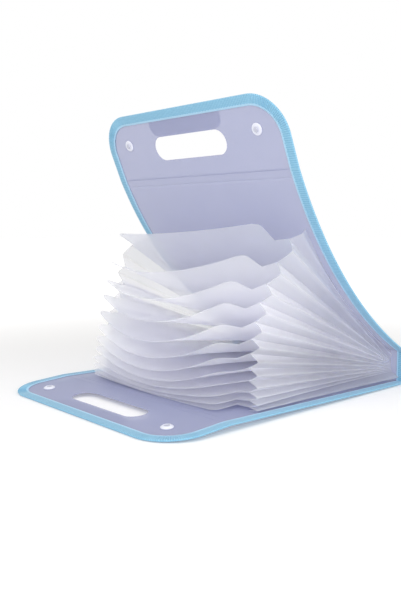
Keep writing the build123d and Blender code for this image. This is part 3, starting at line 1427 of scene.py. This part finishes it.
@dataclass
class Stations:
    """Stations along the edge of a cover, each with its own axes.

    Attributes:
        place: Points on the middle of the sheet, inside the fold of the tape.
        outward: Directions out of the edge.
        inward: Normals into the folder.
        gather: How much the tape is gathered, from 0 to 1.
    """

    place: Array
    outward: Array
    inward: Array
    gather: Array

    def turned(self) -> "Stations":
        """The same stations in the other order."""
        return Stations(*(getattr(self, item.name)[::-1] for item in fields(self)))

    @classmethod
    def joined(cls, *runs: "Stations") -> "Stations":
        """Put runs of stations one after the other."""
        rows = ([getattr(run, item.name) for run in runs] for item in fields(cls))
        return cls(*(np.concatenate(row) for row in rows))


@dataclass
class EdgeTape:
    """Woven tape folded over the edges of the covers and sewn.

    Attributes:
        layout: The folder's layout.
        finish: Finish of the tape.
        thread: Finish of the stitches.
        width: Width of the tape on each face.
        corner: Radius of the covers' corners.
        straight_step: Distance of the stations on a straight edge.
        corner_step: Distance of the stations in a gathered corner.
        spine_steps: Stations down the spine.
        bend_steps: Stations round a bend of the tape.
        foot_bend: Radius of the tape at the foot of the spine.
        spine_gap: Length from the spine to the first station on the back cover.
        rib_pitch: Distance of the gathered ribs.
        rib_height: Height of the gathered ribs.
        rib_side_share: How far the ribs run down the outer face, as a share of half the edge.
        hem: Distance from the tape's inner edge and depth of the points of its hem.
        groove: Distance from the inner edge to the start and the end of the sewn groove.
        groove_depth: Depth of the sewn groove.
        crown: Rise of the tape half way between its inner edge and its fold.
        lining: Distance of the tape's inside from the edge of the sheet.
        sheet_gap: Gap between the tape and the sheet.
        stitch_inset: Distance of the stitches from the tape's inner edge.
        stitch_pitch: Distance of the stitches.
        stitch_length: Length of a stitch.
        thread_radius: Radius of the thread.
        seam_gap: Distance of the stitches from the front crease.
        flap_bend: Length of the front flap's tape that bends at the crease.
    """

    layout: Layout
    finish: Material
    thread: Material
    width: float = 10 * MM
    corner: float = 38 * MM
    straight_step: float = 4 * MM
    corner_step: float = 0.45 * MM
    spine_steps: int = 9
    bend_steps: int = 7
    foot_bend: float = 0.95 * MM
    spine_gap: float = 2 * MM
    rib_pitch: float = 2.0 * MM
    rib_height: float = 0.28 * MM
    rib_side_share: float = 1 / 3
    hem: tuple[tuple[float, float], ...] = ((0.1 * MM, 0.16 * MM), (0.35 * MM, 0.02 * MM))
    groove: tuple[float, float] = (1.3 * MM, 2.8 * MM)
    groove_depth: float = 0.12 * MM
    crown: float = 0.03 * MM
    lining: float = 0.2 * MM
    sheet_gap: float = 0.02 * MM
    stitch_inset: float = 2.0 * MM
    stitch_pitch: float = 3.4 * MM
    stitch_length: float = 2.6 * MM
    thread_radius: float = 0.24 * MM
    seam_gap: float = 3.0 * MM
    flap_bend: float = 3.0 * MM

    @property
    def half_stack(self) -> float:
        """Half the thickness of the bound edge."""
        return self.layout.edge_stack / 2

    def _outline(self, start: float) -> Array:
        """Walk round a flap's edge, from the near side of its cover to the far one.

        Args:
            start: Length along the cover where the walk starts and ends.

        Returns:
            Rows of the length along the cover, Y, the outward direction in both, and gather.
        """
        end, turn_at = self.layout.grip_end, self.layout.grip_end - self.corner
        edge = self.layout.half_width - self.half_stack
        side = self.layout.half_width - self.corner
        bend = self.corner - self.half_stack
        marks: list[tuple[float, ...]] = []

        def straight(first: float, last: float, closed: bool = False) -> Array:
            """Places of the stations on a straight edge."""
            count = max(2, int(abs(last - first) / self.straight_step))
            return np.linspace(first, last, count, endpoint=closed)

        def gathered(out: float, over: float) -> tuple[float, ...]:
            """Station in a rounded corner that faces out along the cover and over its side."""
            across = math.copysign(side, over) + bend * over
            return turn_at + bend * out, across, out, over, math.sqrt(2 * abs(out * over))

        turns = np.linspace(0, QUARTER, int(bend * QUARTER / self.corner_step), endpoint=False)
        marks += [(along, -edge, 0, -1, 0) for along in straight(start, turn_at)]
        marks += [gathered(math.sin(turn), -math.cos(turn)) for turn in turns]
        marks += [(end - self.half_stack, across, 1, 0, 0) for across in straight(-side, side)]
        marks += [gathered(math.cos(turn), math.sin(turn)) for turn in turns]
        marks += [(along, edge, 0, 1, 0) for along in straight(turn_at, start, closed=True)]
        return np.array(marks)

    def _cover_stations(self, cover: Cover, start: float) -> Stations:
        """Stations round a flap and along the cover's sides.

        Args:
            cover: The cover.
            start: Length along the cover where the stations start and end.

        Returns:
            The stations, from the near side to the far one.
        """
        along, across, out, over, gather = self._outline(start).T
        point, rise = self.layout.on_cover(along, cover)
        normal = above(rise) * (-1 if cover is Cover.FRONT else 1)
        ahead = in_space(radial(rise), 0.0)
        outward = ahead * out[:, None] + np.array([0.0, 1.0, 0.0]) * over[:, None]
        return Stations(in_space(point, across), outward, in_space(normal, 0.0), gather)

    def _side_stations(self, side: Side, point: Array, normal: Array) -> Stations:
        """Stations along one side of the folder.

        Args:
            side: Side of the folder.
            point: Points in X and Z.
            normal: Normals in X and Z, into the folder.

        Returns:
            The stations, where the tape isn't gathered.
        """
        edge = side.value * (self.layout.half_width - self.half_stack)
        outward = np.tile([0.0, float(side.value), 0.0], (len(point), 1))
        flat = np.zeros(len(point))
        return Stations(in_space(point, edge), outward, in_space(normal, 0.0), flat)

    def _spine_stations(self, side: Side) -> Stations:
        """Stations down one side of the spine and round its foot.

        Args:
            side: Side of the folder.

        Returns:
            The stations, from the hinge down.
        """
        layout, bend = self.layout, self.foot_bend
        heights = np.linspace(layout.hinge[1], layout.foot[1] + bend, self.spine_steps)
        down = np.stack([np.full_like(heights, layout.foot[0]), heights], axis=-1)
        inside = np.tile([-1.0, 0.0], (len(heights), 1))
        turn = np.linspace(0, QUARTER - layout.back_tilt, self.bend_steps)[1:]
        spoke = np.stack([np.cos(turn), -np.sin(turn)], axis=-1)
        foot = layout.foot + np.array([-bend, bend]) + spoke * bend
        normal = np.concatenate([inside, -spoke])
        return self._side_stations(side, np.concatenate([down, foot]), normal)

    def _hinge_stations(self, side: Side, last: float) -> Stations:
        """Stations round the hinge and up one side of the bent front cover.

        Args:
            side: Side of the folder.
            last: Length along the cover to the last of them.

        Returns:
            The stations, from the hinge up.
        """
        layout = self.layout
        fan = np.linspace(QUARTER, layout.base_angle, self.bend_steps)[:-1]
        lengths = np.linspace(0, last, int(last / self.straight_step))
        along, slope = layout.on_cover(lengths, Cover.FRONT)
        point = np.concatenate([np.tile(layout.hinge, (len(fan), 1)), along])
        return self._side_stations(side, point, -above(np.concatenate([fan, slope])))

    def _section(self) -> Array:
        """Outline of the folded tape.

        Returns:
            Outward and inward place of the section's points.
        """
        top = self.half_stack
        inner = top - self.width
        sheet = self.layout.sheet_wall / 2 + self.sheet_gap
        groove_start, groove_end = self.groove
        face = [
            (inner, sheet),
            *((inner + inset, top - depth) for inset, depth in self.hem),
            (inner + groove_start, top),
            (inner + self.stitch_inset, top - self.groove_depth),
            (inner + groove_end, top),
            (inner / 2, top + self.crown),
        ]
        arc = np.linspace(QUARTER, -QUARTER, self.bend_steps)
        fold = [(top * math.cos(turn), top * math.sin(turn)) for turn in arc]
        back = [(out, -min(up, top)) for out, up in reversed(face)]
        return np.array(face + fold + back + [(-self.lining, -sheet), (-self.lining, sheet)])

    def _strip(self, name: str, runs: Sequence[Stations]) -> Piece:
        """Sweep the tape's section along runs of stations.

        Args:
            name: Name of the piece.
            runs: Runs of stations, each a closed strip of its own.

        Returns:
            The new object, with gathered ribs.
        """
        loop = self._section()
        out, up = loop.T
        raised = (up > -self.half_stack * self.rib_side_share) & (out > -self.width)
        points, lay, gather = np.empty((0, 3)), np.empty((0, 2)), np.empty(0)
        faces: list[list[int]] = []
        for run in runs:
            shape = len(run.place), len(loop)
            index = len(points) + np.arange(math.prod(shape)).reshape(shape)
            beside = np.roll(index, -1, axis=1)
            quads = np.stack([index[:-1], beside[:-1], beside[1:], index[1:]], axis=-1)
            faces += quads.reshape(-1, 4).tolist() + index[[0, -1]].tolist()
            sides = run.outward[:, None] * out[:, None] + run.inward[:, None] * up[:, None]
            points = np.concatenate([points, (run.place[:, None] + sides).reshape(-1, 3)])
            girth = np.tile(lengths_along(loop), len(run.place))
            length = np.repeat(lengths_along(run.place), len(loop))
            lay = np.concatenate([lay, np.stack([length, girth], axis=-1)])
            gather = np.concatenate([gather, (run.gather[:, None] * raised).ravel()])
        mesh = new_mesh(name, points, [], faces)
        corners = np.zeros(len(mesh.loops), np.int32)
        mesh.loops.foreach_get("vertex_index", corners)
        layer = mesh.uv_layers.new(name="tape")
        layer.data.foreach_set("uv", lay[corners].astype(np.float32).ravel())
        set_points(mesh, "run", lay[:, 0])
        set_points(mesh, "gather", gather)
        face_outwards(mesh)
        piece = new_piece(name, mesh)
        GatheredRibs(self.rib_pitch, self.rib_height, self.finish).apply(piece)
        piece.data.set_sharp_from_angle(angle=SHARP)
        return piece

    def _sew(self, name: str, runs: Sequence[Stations]) -> Piece:
        """Sew a row of stitches on both faces of the tape.

        Args:
            name: Name of the piece.
            runs: Runs of stations that the stitches follow.

        Returns:
            The new object.
        """
        inset = self.half_stack - self.width + self.stitch_inset
        rise = self.half_stack - self.thread_radius / 2
        points = np.empty((0, 3))
        edges: list[tuple[int, int]] = []
        for run in runs:
            for face in (rise, -rise):
                base = len(points)
                line = run.place + run.outward * inset + run.inward * face
                edges += [(base + step, base + step + 1) for step in range(len(line) - 1)]
                points = np.concatenate([points, line])
        piece = new_piece(name, new_mesh(name, points, edges, []))
        stitch = StitchRow(
            self.stitch_pitch, self.stitch_length, self.thread_radius, self.thread
        )
        stitch.apply(piece)
        return piece

    def _back_turn(self, points: Array) -> Array:
        """Share of the back flap's fold for points of the tape."""
        return eased(self.layout.back_crease[0] - points[:, 0], self.layout.crease_soft)

    def _flap_turn(self, points: Array) -> Array:
        """Share of the front flap's fold for points of the tape."""
        past = (points[:, [0, 2]] - self.layout.front_crease) @ radial(self.layout.front_flap_rise)
        return smooth(past / self.flap_bend)

    def _bind(
        self, tape: Piece, seam: Piece, still: str, moving: str, turn: Callable[[Array], Array]
    ) -> None:
        """Let a tape and its stitches bend between two bodies, and dress them.

        Args:
            tape: The tape.
            seam: Its stitches.
            still: Body that they follow before the bend.
            moving: Body that they follow after it.
            turn: Gives the share of the bend for points in X, Y and Z.
        """
        for piece, material in ((tape, self.finish), (seam, self.thread)):
            bend_with(piece, still, moving, self.layout, turn(coordinates(piece.data)))
            dress(piece, material)

    def build(self) -> None:
        """Build the tape and the stitches of both covers."""
        crease = self.layout.panel
        back = self._cover_stations(Cover.BACK, self.spine_gap)
        near, far = (self._spine_stations(side) for side in Side)
        back_tape = self._strip("back_edge_tape", [Stations.joined(near, back, far.turned())])
        back_seam = self._sew("back_stitches", [back])
        self._bind(back_tape, back_seam, "back_cover", "back_flap", self._back_turn)
        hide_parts("back_binding", "spine_binding", "back_flap_binding")

        sides = [self._hinge_stations(side, crease) for side in Side]
        side_rows = [self._hinge_stations(side, crease - self.seam_gap) for side in Side]
        side_tape = self._strip("front_side_tape", sides)
        side_seam = self._sew("front_side_stitches", side_rows)
        turn = self.layout.front_turn_at
        self._bind(side_tape, side_seam, "back_cover", "front_cover", turn)
        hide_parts("front_binding")

        flap = self._cover_stations(Cover.FRONT, crease)
        flap_row = self._cover_stations(Cover.FRONT, crease + self.seam_gap)
        flap_tape = self._strip("front_flap_tape", [flap])
        flap_seam = self._sew("front_flap_stitches", [flap_row])
        self._bind(flap_tape, flap_seam, "front_cover", "front_flap", self._flap_turn)
        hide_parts("front_flap_binding")


class PieceNodes(Nodes):
    """A Geometry Nodes tree with named inputs, applied to a piece as a plain mesh.

    Args:
        title: Name of the tree.
        numbers: Value of each number input, by name.
        material: Material that the tree sets.
    """

    def __init__(self, title: str, numbers: dict[str, float], material: Material) -> None:
        """Make the tree and its sockets."""
        super().__init__(bpy.data.node_groups.new(title, "GeometryNodeTree"))
        self.socket("Geometry", "Geometry")
        self.values: dict[str, Any] = {}
        for label, value in numbers.items():
            self.values[self.socket(label, "Float").identifier] = value
        self.values[self.socket("Material", "Material").identifier] = material
        self.socket("Geometry", "Geometry", "OUTPUT")
        self.inputs = self.put("NodeGroupInput")

    def close(self, geometry: Any) -> None:
        """Close the tree with real geometry and its material.

        Args:
            geometry: Output that holds the geometry.
        """
        real = self.put("GeometryNodeRealizeInstances", {0: geometry})[0]
        inputs = {"Geometry": real, "Material": self.inputs["Material"]}
        self.put("NodeGroupOutput", {0: self.put("GeometryNodeSetMaterial", inputs)[0]})

    def apply(self, piece: Piece) -> None:
        """Run the tree on a piece and keep the result as its mesh.

        Args:
            piece: The piece.
        """
        modifier = piece.modifiers.new(self.tree.name, "NODES")
        modifier.node_group = self.tree
        for identifier, value in self.values.items():
            modifier[identifier] = value
        finished(piece)


class GatheredRibs(PieceNodes):
    """Ribs across the tape where it is gathered round a corner.

    Args:
        pitch: Distance of the ribs.
        height: Height of the ribs.
        material: Finish of the tape.
    """

    def __init__(self, pitch: float, height: float, material: Material) -> None:
        """Build the tree."""
        super().__init__("Gathered Ribs", {"Rib Pitch": pitch, "Rib Height": height}, material)
        kind = "GeometryNodeInputNamedAttribute"
        run, gather = (
            self.put(kind, {"Name": label}, data_type="FLOAT")["Attribute"]
            for label in ("run", "gather")
        )
        wave = self.wave(run, self.inputs["Rib Pitch"])
        lift = self.calc("MULTIPLY", wave, self.inputs["Rib Height"])
        lift = self.calc("MULTIPLY", lift, gather)
        normal = self.put("GeometryNodeInputNormal")[0]
        shift = self.put("ShaderNodeVectorMath", {0: normal, "Scale": lift}, operation="SCALE")[0]
        inputs = {"Geometry": self.inputs["Geometry"], "Offset": shift}
        self.close(self.put("GeometryNodeSetPosition", inputs)[0])


class StitchRow(PieceNodes):
    """Stitches laid end to end along a line.

    Args:
        pitch: Distance of the stitches.
        length: Length of a stitch.
        radius: Radius of the thread.
        material: Finish of the thread.
    """

    BEAD = {"Segments": 6, "Rings": 4, "Radius": 1.0}

    def __init__(self, pitch: float, length: float, radius: float, material: Material) -> None:
        """Build the tree."""
        numbers = {"Stitch Pitch": pitch, "Stitch Length": length, "Thread Radius": radius}
        super().__init__("Stitch Row", numbers, material)
        curve = self.put("GeometryNodeMeshToCurve", {0: self.inputs["Geometry"]})[0]
        spacing = {"Curve": curve, "Length": self.inputs["Stitch Pitch"]}
        half = self.calc("MULTIPLY", self.inputs["Stitch Length"], 0.5)
        thick = self.inputs["Thread Radius"]
        along = {"Vector": self.put("GeometryNodeInputTangent")[0]}
        inputs = {
            "Points": self.put("GeometryNodeResampleCurve", spacing, mode="LENGTH")[0],
            "Instance": self.put("GeometryNodeMeshUVSphere", self.BEAD)["Mesh"],
            "Rotation": self.put("FunctionNodeAlignEulerToVector", along, axis="X")[0],
            "Scale": self.put("ShaderNodeCombineXYZ", {"X": half, "Y": thick, "Z": thick})[0],
        }
        self.close(self.put("GeometryNodeInstanceOnPoints", inputs)[0])


@dataclass
class RigidPieces:
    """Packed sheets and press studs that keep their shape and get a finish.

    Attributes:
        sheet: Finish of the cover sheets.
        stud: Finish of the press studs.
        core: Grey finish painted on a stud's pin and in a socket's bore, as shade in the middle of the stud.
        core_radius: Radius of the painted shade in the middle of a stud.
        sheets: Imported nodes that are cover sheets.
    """

    sheet: Material
    stud: Material
    core: Material
    core_radius: float = 2.8 * MM
    sheets: tuple[str, ...] = (
        "back_cover",
        "spine_panel",
        "back_handle_flap",
        "front_handle_flap",
    )

    def build(self) -> None:
        """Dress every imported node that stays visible."""
        for name, node in frame["nodes"].items():
            if name in self.sheets:
                dress(node, self.sheet)
            elif "snap" in name:
                dress(node, self.stud)
                # Pins and bores get a grey finish: painted shade in the middle of each stud.
                if "cap" not in name:
                    self._core(node)

    def _core(self, node: Piece) -> None:
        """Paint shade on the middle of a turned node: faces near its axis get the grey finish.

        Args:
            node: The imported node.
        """
        mesh = node.data
        points = coordinates(mesh)
        middle = (points.min(axis=0) + points.max(axis=0)) / 2
        axis = np.linalg.eigh(np.cov((points - middle).T))[1][:, 0]
        mesh.materials.append(self.core)
        for face in mesh.polygons:
            arm = np.array(face.center) - middle
            off_axis = np.linalg.norm(arm - axis * (arm @ axis))
            face.material_index = int(off_axis < self.core_radius)


@dataclass(frozen=True)
class Lamp:
    """Square soft lamp.

    Attributes:
        name: Name of the lamp.
        place: Where it hangs.
        size: Side of the lamp.
        power: Power in watts.
    """

    name: str
    place: tuple[float, float, float]
    size: float
    power: float

    def hang(self, aim: Vector) -> None:
        """Hang the lamp.

        Args:
            aim: Point that it faces.
        """
        data = bpy.data.lights.new(self.name, "AREA")
        data.size = self.size
        data.energy = self.power
        lamp = new_piece(self.name, data)
        lamp.location = self.place
        lamp.rotation_euler = (aim - Vector(self.place)).to_track_quat("-Z", "Y").to_euler()
        lamp.visible_camera = False
        LOG.info("%s hung", self.name)


@dataclass
class Studio:
    """Pale floor, soft lamps and the camera.

    Attributes:
        lamps: The lamps.
        floor_size: Side of the floor.
        floor_drop: Distance of the floor below the folder.
        floor_colour: Colour of the floor.
        floor_roughness: Roughness of the floor.
        glow: Distances from the folder between which the floor turns white, and its glow there.
        ambient: Strength of the light from all round.
        eye: Place of the camera.
        yaw: Direction of the camera from X towards Y, in degrees.
        pitch: Angle that the camera looks down by, in degrees.
        focal_pixels: Focal length in pixels of the picture.
        picture_height: Height of the picture in pixels.
        sensor: Size of the camera's sensor in millimetres.
        clip: Nearest distance that the camera shows.
        light_paths: Most bounces of light, enough for a stack of white film.
        scatter_paths: Most scattered bounces between the sheets of film.
        film_faces: Most see-through faces that light passes.
    """

    lamps: tuple[Lamp, ...] = (
        Lamp("key_lamp", (-0.84, -0.9, 0.25), size=0.7, power=6.0),
        Lamp("top_lamp", (-0.8, -0.2, 1.3), size=1.2, power=7.0),
        Lamp("side_lamp", (0.2, -1.3, 0.35), size=0.9, power=5.0),
    )
    floor_size: float = 12.0
    floor_drop: float = 0.3 * MM
    floor_colour: Colour = tint(246, 245, 244)
    floor_roughness: float = 0.9
    glow: tuple[float, float, float, float] = (0.25, 0.9, 0.12, 0.5)
    ambient: float = 0.6
    eye: tuple[float, float, float] = (-471.9 * MM, -510.0 * MM, 163.0 * MM)
    yaw: float = 47.88
    pitch: float = 6.265
    focal_pixels: float = 708.1
    picture_height: float = 601.0
    sensor: float = 36.0
    clip: float = 10 * MM
    light_paths: int = 96
    scatter_paths: int = 96
    film_faces: int = 96

    def build(self) -> None:
        """Set up the floor, the lamps, the world and the camera."""
        scene = bpy.context.scene
        scene.view_settings.view_transform = "Standard"
        scene.cycles.max_bounces = self.light_paths
        scene.cycles.diffuse_bounces = self.scatter_paths
        scene.cycles.transparent_max_bounces = self.film_faces
        self._floor()
        self._world()
        aim = (Vector(CAD_BOX[0]) + Vector(CAD_BOX[1])) / 2
        for lamp in self.lamps:
            lamp.hang(aim)
        self._camera()

    def _camera(self) -> None:
        """Place the camera where the picture was taken from."""
        yaw, pitch = math.radians(self.yaw), math.radians(self.pitch)
        level = math.cos(pitch)
        ahead = Vector((level * math.cos(yaw), level * math.sin(yaw), -math.sin(pitch)))
        data = bpy.data.cameras.new("camera")
        data.sensor_width = self.sensor
        data.lens = self.focal_pixels * self.sensor / self.picture_height
        data.clip_start = self.clip
        camera = new_piece("camera", data)
        camera.location = self.eye
        camera.rotation_euler = ahead.to_track_quat("-Z", "Y").to_euler()
        bpy.context.scene.camera = camera

    @staticmethod
    def _seen(nodes: Nodes) -> Any:
        """Share of a ray that shows the backdrop: straight, mirrored or through glass.

        Args:
            nodes: Tree that takes the nodes.

        Returns:
            The output.
        """
        path = nodes.put("ShaderNodeLightPath")
        seen = nodes.calc("MAXIMUM", path["Is Camera Ray"], path["Is Glossy Ray"])
        return nodes.calc("MAXIMUM", seen, path["Is Transmission Ray"])

    def _world(self) -> None:
        """Light the folder from all round, in front of a white backdrop."""
        world = bpy.data.worlds.new("studio")
        world.use_nodes = True
        nodes = Nodes(world.node_tree)
        back = nodes.tree.nodes["Background"].inputs
        gain = nodes.calc("MULTIPLY", self._seen(nodes), 1.0 - self.ambient)
        nodes.feed(back["Color"], WHITE)
        nodes.feed(back["Strength"], nodes.calc("ADD", gain, self.ambient))
        bpy.context.scene.world = world

    def _floor(self) -> None:
        """Lay the pale floor, which keeps the folder's shadow."""
        half = self.floor_size / 2
        corners = [(-half, -half), (half, -half), (half, half), (-half, half)]
        points = [(*corner, -self.floor_drop) for corner in corners]
        mesh = new_mesh("floor", points, [], [(0, 1, 2, 3)])
        floor = new_piece("floor", mesh)
        paint = Paint(
            "pale_floor",
            Base_Color=self.floor_colour,
            Roughness=self.floor_roughness,
            Specular_IOR_Level=0.0,
            Emission_Color=WHITE,
        )
        place = paint.put("ShaderNodeTexCoord")["Object"]
        away = paint.put("ShaderNodeVectorMath", {0: place}, operation="LENGTH")["Value"]
        inputs = dict(zip(("From Min", "From Max", "To Min", "To Max"), self.glow), Value=away)
        glow = paint.put("ShaderNodeMapRange", inputs, interpolation_type="SMOOTHSTEP")["Result"]
        paint.fill(Emission_Strength=paint.calc("MULTIPLY", self._seen(paint), glow))
        mesh.materials.append(paint.material)


@dataclass
class Folder:
    """The whole folder, sub-assembly by sub-assembly.

    Attributes:
        bend_degrees: Turn of the bent front cover, in degrees.
        sag: How the dividers hang.
        drift: How the dividers are drawn sideways.
        core: Grey finish painted on the studs' pins and in the sockets' bores, as shade.
        film: Finish of the upper dividers.
        low_film: Finish of the lower dividers.
        gussets: Finish of the gusset on each side.
    """

    bend_degrees: float = 35.4
    sag: Sag = Sag()
    drift: Drift = Drift()
    # Painted shade for the middle of each stud, greyer than its plastic.
    core: StudFinish = StudFinish(
        "stud_core", pale=tint(206, 208, 220), deep=tint(186, 188, 204)
    )
    film: FilmFinish = FilmFinish("divider_film", alpha=0.68, inner_alpha=0.42)
    low_film: FilmFinish = FilmFinish(
        "low_divider_film", alpha=0.5, inner_alpha=0.2, scatter_length=0.8 * MM
    )
    gussets: dict[Side, FilmFinish] = field(
        default_factory=lambda: {
            Side.NEAR: FilmFinish(
                "near_gusset", alpha=0.46, inner_alpha=0.3, scatter_length=1.5 * MM
            ),
            Side.FAR: FilmFinish("far_gusset", alpha=0.66, inner_alpha=0.5),
        }
    )

    def build(self) -> None:
        """Build and dress every piece."""
        layout = Layout.read(frame, self.bend_degrees)
        sheet = CoverFinish().material()
        RigidPieces(sheet, StudFinish().material(), self.core.material()).build()
        FrontCover(layout, sheet).build()
        for cover in Cover:
            CreaseWeb(layout, sheet).build(cover)
            GripFold(layout, sheet).build(cover)
        EdgeTape(layout, TapeFinish().material(), ThreadFinish().material()).build()
        films = self.film.material(), self.low_film.material()
        DividerFan(layout, self.sag, self.drift, *films).build()
        for side, finish in self.gussets.items():
            PleatedGusset(layout, self.sag, self.drift, side, finish.material()).build()


def main() -> None:
    """Build the folder and its studio."""
    logging.basicConfig(level=logging.INFO, format="%(message)s")
    Folder().build()
    Studio().build()


if __name__ == "__main__":
    main()
